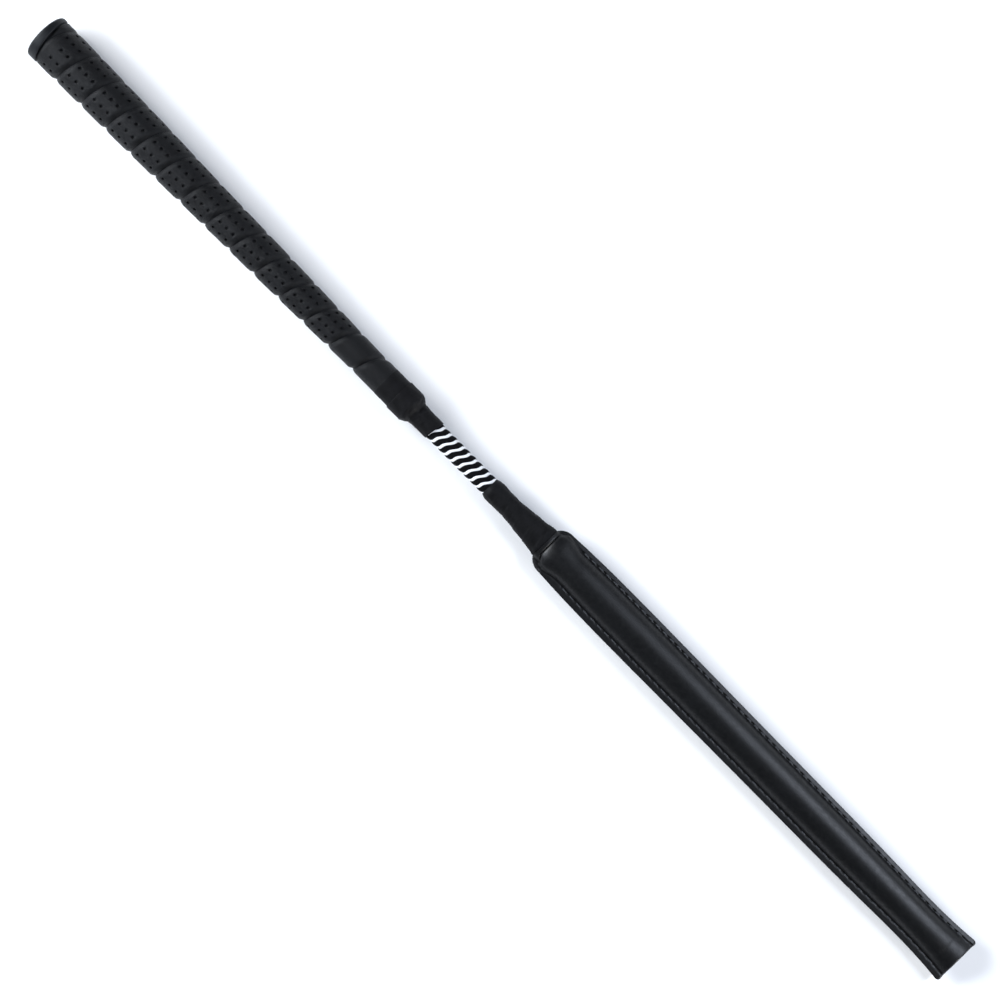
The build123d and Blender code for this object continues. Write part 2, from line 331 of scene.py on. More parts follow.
def flap_leather():
    """Coated leather of the flap: smooth, semi-gloss, with a fine pore grain and soft handling marks."""
    p = Paint("flap_leather")
    where = p.place("UV")
    cloud = p.noise(where, 14.0, detail=5)
    p.feed("Base Color", p.ramp(cloud, [(0.3, (0.0012, 0.0014, 0.0018)), (0.7, (0.0026, 0.0030, 0.0038))]))
    pores = p.cells(where, 0.55)
    p.bump(p.remap(pores, 0.0, 0.22, 0.0, 1.0), 0.022, 0.5)
    p.bump(p.noise(where, 3.2, detail=4), 0.05, 0.20)
    p.feed("Roughness", p.remap(p.noise(where, 2.6, detail=6, rough=0.65), 0.3, 0.7, 0.38, 0.49))
    return p.finish(Specular_IOR_Level=0.33)


def yarn(name, dark, light, rough=0.75, gloss=0.2, sheen=0.2):
    """Twisted yarn: the UV map runs along the yarn and once round it."""
    p = Paint(name)
    where = p.place("UV")
    fibre = p.noise(p.place("UV", (1.0, 3.0, 1.0)), 0.35, detail=4, rough=0.7)
    p.feed("Base Color", p.ramp(fibre, [(0.25, dark), (0.75, light)]))
    inputs = {"Vector": where, "Scale": 0.55, "Distortion": 1.0}
    twist = p.node("ShaderNodeTexWave", inputs, bands_direction="DIAGONAL")
    p.bump(twist.outputs["Fac"], 0.08, 0.7)
    p.bump(fibre, 0.05, 0.6)
    return p.finish(Roughness=rough, Specular_IOR_Level=gloss, Sheen_Weight=sheen, Sheen_Roughness=0.5)


def moulded(name, dark, light, lump=3.0, rough=0.7, depth=0.1):
    """Plain inner stuff, such as foam or rubber, with mottled colour and a fine rough surface."""
    p = Paint(name)
    where = p.place("Object")
    p.feed("Base Color", p.ramp(p.noise(where, lump, detail=4), [(0.3, dark), (0.7, light)]))
    p.bump(p.noise(where, 0.5, detail=4), depth, 0.7)
    p.feed("Roughness", p.remap(p.noise(where, lump / 2), 0.3, 0.7, rough - 0.08, rough + 0.08))
    return p.finish(Specular_IOR_Level=0.35)


def floor_paint():
    p = Paint("floor")
    where = p.place("Object")
    cloud = p.noise(where, 60.0)
    p.feed("Base Color", p.ramp(cloud, [(0.3, (0.90, 0.90, 0.905)), (0.7, (0.93, 0.93, 0.93))]))
    p.bump(p.noise(where, 1.5, detail=3), 0.05, 0.15)
    return p.finish(Roughness=0.9, Specular_IOR_Level=0.1)


def dress(piece, material):
    piece.data.materials.clear()
    piece.data.materials.append(material)


# ------------------------------------------------------------------------------------------------
# Butt cap
# ------------------------------------------------------------------------------------------------
GRIP_SLANT = 0.115     # the grip's first edge is cut on a slant, later on the -Y side
CAP_GAP = 1.7          # the rubber ends this far before the grip's first station
CAP_ROUND = 1.6        # radius of the rounded rim


def make_butt_cap():
    """Round rubber cap: flat end with a shallow moulded dish, rounded rim, dark gap before the grip."""
    rim = Surface("butt_cap").reach(span("grip_wrap")[0] / 2, 0, 1) + 0.1
    last = span("grip_wrap")[0] - CAP_GAP
    turn = np.linspace(0, math.pi / 2, 9)
    outline = [(1.3, 0.02), (1.3, 1.2), (0.45, 1.6), (0.40, 6.8), (0.75, 7.4), (0.75, 7.9)]
    outline += [(0.05, 8.5), (0.0, 9.0)]
    outline += [(CAP_ROUND * (1 - math.cos(a)), rim - CAP_ROUND * (1 - math.sin(a))) for a in turn]
    outline += [(last - 2.0, rim), (last - 0.7, rim), (last - 0.25, rim - 0.10), (last, rim - 0.4)]
    neck_end = last + 2.2
    outline += [(last + 0.05, rim - 1.6), (neck_end, rim - 1.7), (neck_end, rim - 2.8), (neck_end, 0.02)]
    stations, radii = zip(*outline)

    def bumps(s, angle):
        return 0.05 * lump_grid(angle * 3, s, 1.0, 3.0, 7.0) * smooth(2.0, 8.0, np.asarray(radii)[:, None])

    def slant(s, y):
        return -GRIP_SLANT * y * smooth(CAP_ROUND, last - 0.7, s)

    cap = lathe_piece("butt_cap_rubber", stations, radii, bumps=bumps, slant=slant)
    dress(cap, cap_rubber())
    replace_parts(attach(cap, "whip"), "butt_cap")


# ------------------------------------------------------------------------------------------------
# Wound grip: one perforated strip. Total angle runs along the strip; 0 is the side away from +Y, and
# it climbs over the top towards +Y. The strip's butt-side edge lies over the turn before.
# ------------------------------------------------------------------------------------------------
PITCH = 18.5
FIRST_SEAM = 21.4          # station of the strip's edge at total angle 0
SEAM_SWAY = 1.15           # the edge runs this much nearer the butt over the top, and further below
TUCK = 1.6                 # width of the strip that lies under the next turn
EDGE_DROP = 0.90           # the strip rolls down by this much at the edge that shows
ROLL_WIDTH = 2.8           # over this width
EDGE_ROUND = 0.40          # the cut edge is rounded by this much
SINK = 1.35                # and sinks by this much under the next turn
STRIP_THICKNESS = 1.1
HOLE_ROW_TURN = 30.125     # degrees between rows of holes
FIRST_ROW = 94.0           # total angle of the first row
HOLE_PLACES = (3.7, 8.6, 13.5)  # each hole's distance from the strip's edge
HOLE_BOX = 1.55            # half the square of mesh round each hole
HOLE_RADIUS = 0.88
LAST_PERFORATED = 222.5    # the strip has no holes past this station
COLUMNS = 8                # mesh columns from one row of holes to the next
SINK_START = 15.6          # the strip starts to sink this far from its edge
UV_RADIUS = 11.0           # the handle's usual radius, for the length of strip in the UV map


def seam_station(total):
    """Station of the strip's butt-side edge, a little uneven as a hand winds it."""
    sway = SEAM_SWAY * math.sin(math.radians(total))
    return FIRST_SEAM + PITCH * total / 360 - sway + 0.22 * lumps(total / 150, 3.3)


def strip_height(w, total, station, band_start):
    """Height of the strip at w mm from its edge: rolled at the edge, flat, then sunk under the next turn."""
    pressed = 0.5 * max(0.0, -math.cos(math.radians(total))) * (1 - smooth(90.0, 170.0, station))
    roll = max(0.0, 1 - w / ROLL_WIDTH) ** 1.4
    covered = 1 - smooth(-6.0, 0.0, seam_station(total + 360) - band_start)
    sink = smooth(SINK_START, PITCH + 0.2, w) * covered
    return -(EDGE_DROP * roll + SINK * sink) * (1 - pressed)


def make_grip_wrap():
    surface = Surface("grip_wrap")
    grip_start, _ = span("grip_wrap")
    band_start, _ = span("finishing_band")
    known = np.linspace(grip_start + 0.3, band_start - 0.2, 60)
    radius_known = softened(surface.along(known, 0, 1), 9)

    def base(station):
        return np.interp(station, known, radius_known)

    def spot(total, w, lower=0.0):
        start, after = seam_station(total), seam_station(total + 360)
        station = start + w * (after - start) / PITCH
        wave = 0.11 * lumps(total / 40, w / 6, 1.7) + 0.05 * lumps(total / 14, w / 2.5, 4.1)
        wave -= EDGE_ROUND * (1 - min(w / EDGE_ROUND, 1.0)) ** 2
        r = base(station) + float(strip_height(w, total, station, band_start)) + wave - lower
        a = math.radians(total)
        return (station, -r * math.cos(a), r * math.sin(a)), r

    lines = [0.0, 0.08, 0.22, 0.45, 0.80, 1.35, 2.0]
    for place_w in HOLE_PLACES:
        lines += [place_w + HOLE_BOX * k for k in (-1, -0.5, 0, 0.5, 1)]
    lines += [(HOLE_PLACES[0] + HOLE_PLACES[1]) / 2, (HOLE_PLACES[1] + HOLE_PLACES[2]) / 2]
    lines += [15.8, 16.6, 17.3, 17.9, PITCH, PITCH + TUCK / 2, PITCH + TUCK]
    lines = sorted(lines)
    step = HOLE_ROW_TURN / COLUMNS
    first_cell = -math.ceil((720 + FIRST_ROW) / HOLE_ROW_TURN) - 1
    last_cell = math.ceil(((band_start + 3 - FIRST_SEAM) / PITCH * 360 - FIRST_ROW) / HOLE_ROW_TURN) + 1
    columns = (last_cell - first_cell) * COLUMNS + 1
    begin = FIRST_ROW + (first_cell - 0.5) * HOLE_ROW_TURN

    points, uvs = [], []
    across = len(lines) + 2
    for c in range(columns):
        total = begin + c * step
        girth = UV_RADIUS * math.radians(total)
        for w in lines:
            points.append(spot(total, w)[0])
            uvs.append((girth, w))
        points.append(spot(total, PITCH + TUCK, STRIP_THICKNESS)[0])
        points.append(spot(total, 0.0, STRIP_THICKNESS)[0])
        uvs += [(girth, PITCH + TUCK + 1), (girth, -1.0)]

    holes = {}
    for cell in range(first_cell, last_cell):
        total = FIRST_ROW + cell * HOLE_ROW_TURN
        for w in HOLE_PLACES:
            station = seam_station(total) + w
            first_clear = grip_start + 4.2 + 5 * GRIP_SLANT * math.cos(math.radians(total))
            if first_clear < station and seam_station(total) < LAST_PERFORATED - 3:
                holes[(cell - first_cell, lines.index(w))] = total

    faces, corner_uvs = [], []

    def add(face):
        faces.append(face)
        corner_uvs.extend(uvs[v] for v in face)

    boxed = {(cell * COLUMNS + 2 + a, j - 2 + b) for cell, j in holes for a in range(4) for b in range(4)}
    for c in range(columns - 1):
        for j in range(across):
            if (c, j) not in boxed:
                k = (j + 1) % across
                add((c * across + j, (c + 1) * across + j, (c + 1) * across + k, c * across + k))
    add(tuple(range(across)))
    add(tuple((columns - 1) * across + j for j in reversed(range(across))))

    ring_path = [(k, -2) for k in range(-2, 2)] + [(2, k) for k in range(-2, 2)]
    ring_path += [(k, 2) for k in range(2, -2, -1)] + [(-2, k) for k in range(2, -2, -1)]
    for (cell, j), total in holes.items():
        c, w = cell * COLUMNS + 4, lines[j]
        outer = [(c + a) * across + j + b for a, b in ring_path]
        r_here = spot(total, w)[1]
        for radius, depth in ((HOLE_RADIUS + 0.16, 0.0), (HOLE_RADIUS, 0.10), (HOLE_RADIUS - 0.10, 0.9)):
            inner = []
            for a, b in ring_path:
                size = math.hypot(a, b)
                turned, w_here = a / size * radius, w + b / size * radius
                angle = total + math.degrees(turned / r_here)
                inner.append(len(points))
                points.append(spot(angle, w_here, depth)[0])
                uvs.append((UV_RADIUS * math.radians(angle), w_here))
            for k in range(len(ring_path)):
                n = (k + 1) % len(ring_path)
                add((outer[k], outer[n], inner[n], inner[k]))
            outer = inner
        add(tuple(outer))

    strip = mesh_piece("grip_strip", points, faces, corner_uvs, smooth_angle=42)
    trimmed = bmesh.new()
    trimmed.from_mesh(strip.data)
    slanted = (ALONG + ACROSS * GRIP_SLANT).normalized()
    for station, facing in ((grip_start - 0.2, -slanted), (band_start + 2.0, ALONG)):
        geometry = trimmed.verts[:] + trimmed.edges[:] + trimmed.faces[:]
        at = Vector(place([(station, 0, 0)])[0])
        bmesh.ops.bisect_plane(trimmed, geom=geometry, plane_co=at, plane_no=facing, clear_outer=True)
    bmesh.ops.recalc_face_normals(trimmed, faces=trimmed.faces[:])
    trimmed.to_mesh(strip.data)
    trimmed.free()
    dress(strip, grip_leather())
    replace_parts(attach(strip, "whip"), "grip_wrap")


# ------------------------------------------------------------------------------------------------
# Tapes that finish the handle
# ------------------------------------------------------------------------------------------------
TAPE_SLANT = 0.12          # the shoulder tape's end is on a slant, later on the +Y side
SHOULDER = 283.0           # station at which the tape folds as it closes down on to the shaft


def tape_outline(surface, start, end, step, thickness, edge=0.25):
    """Outline of a tape sleeve: out along the surface with rounded ends, back on the inside."""
    stations = np.arange(start + edge, end - edge + step / 2, step)
    radii = softened(surface.along(stations, 0, 1), 5)
    s = [start, start, start + edge / 3, *stations, end - edge / 3, end, end]
    r = [radii[0] - thickness, radii[0] - edge, radii[0] - edge / 3, *radii]
    r += [radii[-1] - edge / 3, radii[-1] - edge, radii[-1] - thickness]
    inside = stations[::-4]
    s += list(inside)
    r += list(np.interp(inside, stations, radii) - thickness)
    return s, r


def make_finishing_band(tape):
    start, _ = span("finishing_band")
    end = span("shoulder_tape")[0] + 2.5
    s, r = tape_outline(Surface("finishing_band"), start, end, 0.5, 0.55)

    def bumps(station, angle):
        ripple = 0.10 * lump_grid(np.cos(angle) * 4, station + 2 * np.sin(angle), 1.0, 5.0, 2.0)
        drag = 0.07 * lump_grid(np.sin(angle) * 5, np.cos(angle) * 5 + station / 6, 1.0, 1.0, 5.0)
        return ripple + drag

    band = lathe_piece("finishing_band_tape", s, r, bumps=bumps)
    dress(band, tape)
    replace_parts(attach(band, "whip"), "finishing_band")


def make_shoulder_tape(tape):
    start, end = span("shoulder_tape")
    s, r = tape_outline(Surface("shoulder_tape"), start, end, 0.4, 0.45)

    def slant(station, y):
        return TAPE_SLANT * y * smooth(SHOULDER + 4, end - 2, station)

    def bumps(station, angle):
        across, up = np.cos(angle), np.sin(angle)
        soft = 0.17 * lump_grid(across * 3, up * 3 + station / 6, 1.0, 1.0, 8.0)
        near = bell(station - SHOULDER, 3.0)
        folds = 0.75 * near * lump_grid(angle * 5 + station * 0.5, station, 2.2, 2.0, 1.0)
        below = bell(station - SHOULDER - 6, 3.5)
        ring = 0.28 * below * lump_grid(station + 1.2 * across, angle * 0.8, 1.4, 2.0, 3.0)
        return soft + folds + ring

    sleeve = lathe_piece("shoulder_tape_wrap", s, r, around=180, bumps=bumps, slant=slant)
    dress(sleeve, tape)
    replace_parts(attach(sleeve, "whip"), "shoulder_tape")


# ------------------------------------------------------------------------------------------------
# Braided shaft cover: strands that climb one way lie on top, white and black in turn, and the black
# strands that climb the other way are almost hidden under them
# ------------------------------------------------------------------------------------------------
BRAID_PITCH = 9.8           # length of one whole turn of a strand
STRANDS_EACH_WAY = 4
BRAID_START = 296.05        # a white strand crosses the -Y side here
OVER_AT = math.radians(50)  # turn from the -Y side at which the white strands stand highest
SWAY = 0.42                 # strands lean to and fro along the crop by this much
LAY = 0.75                  # and run more nearly along it at its two sides
PROUD = 0.22                # the strands' tops stand this far above the solid sleeve


def make_braid():
    """Diamond braid of eight strands; two of the four that lie on top are white."""
    start, end = span("braided_sleeve")
    outside = Surface("braided_sleeve").reach((start + end) / 2, 0, 1)
    stations = np.arange(start + 1.6, end - 1.6, 0.2)
    progress = 2 * math.pi * (stations - BRAID_START) / BRAID_PITCH
    shades = {
        "white": yarn("braid_white_yarn", (0.66, 0.67, 0.69), (0.92, 0.92, 0.92)),
        "black": yarn(
            "braid_black_yarn", (0.0008, 0.0008, 0.0012), (0.0030, 0.0030, 0.0042), gloss=0.08, sheen=0.0
        ),
    }
    built = {shade: ([], [], []) for shade in shades}
    # way, shade, first strand, strands between, yarns, yarn radius, yarn spacing, depth of its middle, weave
    families = [
        (1, "white", 0, 2, 3, 0.34, 0.46, 0.42, 0.08),
        (1, "black", 1, 2, 5, 0.38, 0.62, 0.38, -0.08),
        (-1, "black", 0, 1, 3, 0.33, 0.52, 0.86, 0.0),
    ]
    for way, shade, first, every, yarns, radius, spacing, depth, weave in families:
        lean = math.atan(2 * math.pi * outside / BRAID_PITCH)
        for strand in range(first, STRANDS_EACH_WAY, every):
            for number in range(yarns):
                beside = (number - (yarns - 1) / 2) * spacing
                shift = beside / math.sin(lean) * 2 * math.pi / BRAID_PITCH
                turn = way * (progress - shift) + 2 * math.pi * strand / STRANDS_EACH_WAY
                beat = STRANDS_EACH_WAY * (turn - OVER_AT)
                round_off = 0.07 * (number - (yarns - 1) / 2) ** 2
                uneven = np.array([0.03 * lumps(s / 2.0, strand + 7 * number, way) for s in stations])
                r = outside + PROUD - depth - round_off - abs(weave) + weave * np.cos(beat) + uneven
                laid = stations - SWAY * np.sin(beat) - way * LAY * np.cos(turn)
                line = np.stack([laid, -r * np.cos(turn), r * np.sin(turn)], -1)
                ahead = heading(line)
                out = square_to(ahead, line * np.array([0, 1, 1]))
                tube(built[shade], line, out, np.cross(ahead, out), radius)
    for shade, (points, faces, uvs) in built.items():
        braid = mesh_piece(f"braid_{shade}_strands", points, faces, uvs, smooth_angle=80)
        dress(braid, shades[shade])
        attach(braid, "whip")
        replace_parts(braid, "braided_sleeve")


def square_to(ahead, vectors):
    """Unit vectors as near to the given ones as they can be at right angles to ahead."""
    level = vectors - ahead * np.sum(vectors * ahead, axis=1)[:, None]
    return level / np.linalg.norm(level, axis=1)[:, None]


def heading(line):
    """Unit vectors along a line of points."""
    ahead = np.gradient(line, axis=0)
    return ahead / np.linalg.norm(ahead, axis=1)[:, None]


def tube(built, line, out, beside, radius, sides=8):
    """Adds a round tube along a line of points, closed at both ends, to built, which is a list of
    points, a list of faces and a list of UVs. out and beside are each point's directions across it."""
    points, faces, uvs = built
    base = len(points)
    angles = 2 * math.pi * np.arange(sides) / sides
    ring = out[:, None, :] * np.cos(angles)[None, :, None]
    ring = ring + beside[:, None, :] * np.sin(angles)[None, :, None]
    points.extend((line[:, None, :] + ring * radius).reshape(-1, 3).tolist())
    length = np.concatenate([[0], np.cumsum(np.linalg.norm(np.diff(line, axis=0), axis=1))])
    new_faces, corners = grid_faces(len(line), sides, True)
    faces.extend(tuple(base + v for v in face) for face in new_faces)
    uvs.extend((length[i], j / sides * 2 * math.pi * radius) for i, j in corners)
    for row, order in ((0, range(sides - 1, -1, -1)), (len(line) - 1, range(sides))):
        faces.append(tuple(base + row * sides + j for j in order))
        uvs.extend((length[row], j / sides * 2 * math.pi * radius) for j in order)


# ------------------------------------------------------------------------------------------------
# Neck tape
# ------------------------------------------------------------------------------------------------
NECK_WIND = 8.2             # each turn of the tape is this far from the last
NECK_THICKNESS = 0.5


def make_neck_tape(tape):
    surface = Surface("neck_binding_tape")
    start, end = span("neck_binding_tape")
    stations = np.arange(start + 0.3, end - 0.1, 0.5)
    high = softened(surface.along(stations, 0, 1), 13)
    wide = softened(surface.along(stations, 1, 0), 13)
    ramp = 0.85 * (1 - smooth(start - 0.5, start + 3.2, stations))
    high, wide = high - ramp, wide - ramp
    s = [start, start, start + 0.1, *stations, end + 1.2, end + 1.2]
    r = [high[0] - NECK_THICKNESS, high[0] - 0.3, high[0] - 0.1, *high]
    r += [high[-1] - 0.3, high[-1] - NECK_THICKNESS - 0.4]
    inside = stations[::-4]
    s += list(inside)
    r += list(np.interp(inside, stations, high) - NECK_THICKNESS)

    def ratio(station):
        return np.interp(station, stations, wide / high)

    def bumps(station, angle):
        turns = ((station - start) / NECK_WIND + angle / (2 * math.pi)) % 1.0
        lap = 0.16 * (1 - turns) * smooth(0.0, 0.05, turns)
        soft = 0.16 * lump_grid(np.cos(angle) * 3, np.sin(angle) * 3 + station / 6, 1.0, 1.0, 12.0)
        pull = 0.10 * lump_grid(station + angle * 2.5, angle, 1.1, 3.0, 6.0)
        return (lap + soft + pull) * smooth(0.0, 2.0, station - start)

    neck = lathe_piece("neck_tape_wrap", s, r, around=180, bumps=bumps, half_ratio=ratio)
    dress(neck, tape)
    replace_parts(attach(neck, "whip"), "neck_binding_tape")


# ------------------------------------------------------------------------------------------------
# Flap
# ------------------------------------------------------------------------------------------------
THREAD_LEFT = 2.75          # stitch row's distance from the edge on the +Y side
THREAD_RIGHT = 3.7          # and on the other side
GROOVE_LEFT = 3.25          # groove beside the padding
GROOVE_RIGHT = 4.3
STITCH_START_LEFT = 402.0   # first stitch of each row
STITCH_START_RIGHT = 407.0
STITCH_PITCH = 5.4
STITCH_SHOWN = 2.9          # length of thread that shows
THREAD_RADIUS = 0.32
RIM_LOW = 1.05              # half thickness of the rim at its edge
RISE_LEFT = 0.85            # the rim climbs by this much from its edge, on the +Y side
RISE_RIGHT = 0.06           # and on the other side
RISE_OVER = 2.3             # width over which it climbs
PAD_BASE = 0.9              # height at which the padding's round sides start
LIP = 2.2                   # width of the cover's lip round the neck tape
NOSE_MIDDLE = 1.2           # the padding's nose is straight this far each side of this y, then swept back
NOSE_STRAIGHT = 7.2
NOSE_SWEEP = 0.95
TIP_CORNER = 2.0            # radius of the tip's corners
TIP_LEVEL = 11.0            # over this length the crown no longer falls as the solid does
TIP_HOLLOW = 1.0            # the tip's end is hollowed by this much in the middle
FOLD_RADIUS = 1.4           # the tip's fold is rounded over this length
FOLD_START = 7.0            # the mesh's last even row is this far from the tip
BEND_REACH = 24.0           # distance each side of the joint


class Flap:
    """Shape of the flap: edge and crown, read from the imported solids."""

    def __init__(self):
        near, end = "flap_cover_front", "flap_end_cover"
        surface = Surface(near, "flap_cover_back", end)
        self.start, _ = span(near)
        _, self.tip = span(end)
        self.shift = (GROOVE_RIGHT - GROOVE_LEFT) / 2
        self.stations = np.concatenate([
            self.start + np.array([0.05, 0.3, 0.7, 1.2, 1.8, 2.5, 3.4, 4.5, 5.8, 7.3, 9.0]),
            np.arange(self.start + 11, self.tip - 4.0, 2.0),
            self.tip - np.array([3.4, 2.8, 2.1]),
        ])
        self.edge_known = surface.along(self.stations, 1, 0)
        crown = surface.along(self.stations, 0, 1, centre=self.shift)
        hidden = np.abs(self.stations - self.hinge() + 2) < 8    # the split between the solids
        crown[hidden] = np.interp(self.stations[hidden], self.stations[~hidden], crown[~hidden])
        self.crown_known = crown
        self.mouth_half = float(self.edge_known[0])
        self.mouth_high = Surface("neck_binding_tape").reach(self.start - 0.2, 0, 1)

    @staticmethod
    def hinge():
        return (Vector(frame["joints"][0]["pos_m"]) - BUTT).dot(ALONG) / MM

    def edge(self, s):
        return np.interp(s, self.stations, self.edge_known)

    def past_nose(self, s, y):
        """Distance along the crop past the groove between the cover's lip and the padding's nose."""
        out = np.abs(y - NOSE_MIDDLE) - NOSE_STRAIGHT
        return s - (self.start + LIP + NOSE_SWEEP * 0.5 * (out + np.sqrt(out**2 + 1.0)))

    def crown(self, s, y):
        """Crown height, smaller at the round nose inside the mouth, nearly level up to the cut tip."""
        nose = np.sqrt(1 - (1 - (self.past_nose(s, y) + 0.2) / 5.0).clip(0, 1) ** 2)
        level = self.tip - TIP_LEVEL
        fade = 1 - 0.06 * np.clip((s - level) / TIP_LEVEL, 0, 1)
        return np.interp(np.minimum(s, level), self.stations, self.crown_known) * (0.80 + 0.20 * nose) * fade

    def narrowing(self, s):
        """Share of the full margin beside the padding: small at the mouth, where the padding is widest."""
        return 0.3 + 0.7 * smooth(self.start + 6, self.start + 20, s)


def end_line(flap, y):
    """Station of the tip's end at y: hollow in the middle, with rounded corners."""
    inner = flap.edge(flap.tip - TIP_CORNER) - TIP_CORNER
    hollow = TIP_HOLLOW * np.clip(1 - (y / inner) ** 2, 0, 1)
    past = np.clip(np.abs(y) - inner, 0, TIP_CORNER)
    corner = TIP_CORNER - np.sqrt(np.maximum(TIP_CORNER**2 - past**2, 0))
    return flap.tip - hollow - corner


def pad_height(flap, s, y, thinner=0.0):
    """Half thickness of the padding at (s, y): a round crown between its two grooves."""
    margin = (GROOVE_LEFT + GROOVE_RIGHT) / 2 * flap.narrowing(s)
    half = np.maximum(flap.edge(s) - margin - thinner, 0.5)
    rise = np.maximum(flap.crown(s, y) - PAD_BASE - thinner, 0.3)
    radius = (half**2 + rise**2) / (2 * rise)
    off = np.abs(y - flap.shift)
    inside = np.sqrt(np.maximum(radius**2 - np.minimum(off, half) ** 2, 0)) - (radius - rise)
    return PAD_BASE + inside - 4.0 * np.maximum(off - half, 0)


def stitch_gap(s, first):
    """1 between stitches, where the thread dives through the cover, and 0 along a stitch."""
    middle = first + STITCH_SHOWN + (STITCH_PITCH - STITCH_SHOWN) / 2
    return smooth(-0.1, 0.7, np.cos(2 * math.pi * (s - middle) / STITCH_PITCH)) * (s > first - 2)


def skin_height(flap, s, y, front):
    """Height of the cover's face above the crop's middle plane."""
    left = y > flap.shift
    inset = np.where(left, flap.edge(s) - y, flap.edge(s) + y)
    groove_at = np.where(left, GROOVE_LEFT, GROOVE_RIGHT) * flap.narrowing(s)
    thread_at = np.where(left, THREAD_LEFT, THREAD_RIGHT)
    gap = stitch_gap(s, np.where(left, STITCH_START_LEFT, STITCH_START_RIGHT))
    rise = np.where(left, RISE_LEFT, RISE_RIGHT)
    rim = RIM_LOW + rise * np.clip(inset / RISE_OVER, 0, 1)
    past = flap.past_nose(s, y)
    pad = RIM_LOW + (pad_height(flap, s, y) - RIM_LOW) * smooth(-1.0, -0.3, past)
    blend = 0.25
    skin = 0.5 * (rim + pad + np.sqrt((rim - pad) ** 2 + blend**2))
    groove = np.where(left, 0.32, 0.14) * bell(inset - groove_at, 0.36)
    seated = 0.12 * bell(inset - thread_at, 0.45)
    hole = np.where(left, 0.50, 0.22) * gap * bell(inset - thread_at - 0.1, 0.4)
    pull = 0.14 * gap * bell(inset - groove_at - 1.2, 1.6)
    seed = 0.0 if front else 31.0
    soft = 0.07 * lump_grid(s, y, 45.0, 10.0, seed) + 0.02 * lump_grid(s, y, 9.0, 4.0, seed + 2)
    skin = skin - groove - seated - hole - pull + soft * smooth(0.3, 3.0, inset - groove_at)
    over_neck = 1 - (y / (flap.mouth_half + 0.5)) ** 2
    lip = (flap.mouth_high + 0.45) * np.sqrt(np.maximum(over_neck, 0)) * (1 - smooth(-0.45, 0.05, past))
    valley = 0.42 * bell(past, 0.42)
    return np.maximum(skin, lip) - valley


def flap_rows(flap):
    """Stations of the mesh's rows, close together at the mouth and at the folded tip."""
    mouth = flap.start + np.array([0.0, 0.15, 0.35, 0.6, 0.9, 1.3, 1.8, 2.4, 3.1, 3.9, 4.8])
    fold = flap.tip - FOLD_START
    body = np.arange(mouth[-1] + 0.6, fold, 0.6)
    share = np.sin(np.linspace(0, math.pi / 2, 16))
    return np.concatenate([mouth, body]), fold, share


def make_flap_cover(flap, leather):
    """One skin round the whole flap, from the mouth to the folded tip."""
    rows, fold, share = flap_rows(flap)
    eta = np.linspace(-1, 1, 97)
    eta = np.sign(eta) * np.abs(eta) ** 0.9
    side = [(0.12, 0.90), (0.02, 0.62), (0.0, 0.22), (0.0, -0.22), (0.02, -0.62), (0.12, -0.90)]

    def ring(station_at):
        """Points round the flap; station_at(y) places each one along it."""
        half = float(flap.edge(min(float(station_at(0.0)), flap.tip - TIP_CORNER)))
        faces_y = eta * (half - 0.28)
        points = []
        for front in (True, False):
            y = faces_y if front else faces_y[::-1]
            s = station_at(y)
            past = np.clip((s - (end_line(flap, y) - FOLD_RADIUS)) / FOLD_RADIUS, 0, 1)
            height = skin_height(flap, s, y, front) * np.sqrt(np.maximum(1 - past**2, 0))
            points += list(np.stack([s, y, height if front else -height], axis=-1))
            corner = abs(points[-1][2])
            way = 1 if front else -1
            edge_y = np.array([way * (half - inset) for inset, _ in side])
            edge_z = np.array([way * level * corner for _, level in side])
            points += list(np.stack([station_at(edge_y), edge_y, edge_z], axis=-1))
        return points

    grid = [ring(lambda y, s=s: np.full_like(np.asarray(y, float), s)) for s in rows]
    grid += [ring(lambda y, k=k: fold + (end_line(flap, np.asarray(y, float)) - fold) * k) for k in share[1:]]
    grid = np.array(grid)
    count = grid.shape[1]
    faces, corners = grid_faces(len(grid), count, True)
    faces.append(tuple(range(count - 1, -1, -1)))
    girth = np.concatenate([[0], np.cumsum(np.linalg.norm(np.diff(grid[len(grid) // 2], axis=0), axis=1))])
    girth = np.append(girth, girth[-1] + 0.5)
    uv = [(grid[i, j % count, 0], girth[j]) for i, j in corners]
    uv += [(grid[0, j, 0], girth[j]) for j in range(count - 1, -1, -1)]
    cover = mesh_piece("flap_cover", grid.reshape(-1, 3), faces, uv, smooth_angle=60)
    tidy = bmesh.new()
    tidy.from_mesh(cover.data)
    bmesh.ops.remove_doubles(tidy, verts=tidy.verts[:], dist=0.02 * MM)
    bmesh.ops.recalc_face_normals(tidy, faces=tidy.faces[:])
    tidy.to_mesh(cover.data)
    tidy.free()
    dress(cover, leather)
    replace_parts(cover, "flap_cover_front", "flap_cover_back", "flap_end_cover")
    bend_with_end(cover, flap)


def bend_with_end(piece, flap):
    """Bakes the piece's placement into its mesh."""
    start, end = place([(flap.hinge() - BEND_REACH, 0, 0), (flap.hinge() + BEND_REACH, 0, 0)])
    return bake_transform(piece)


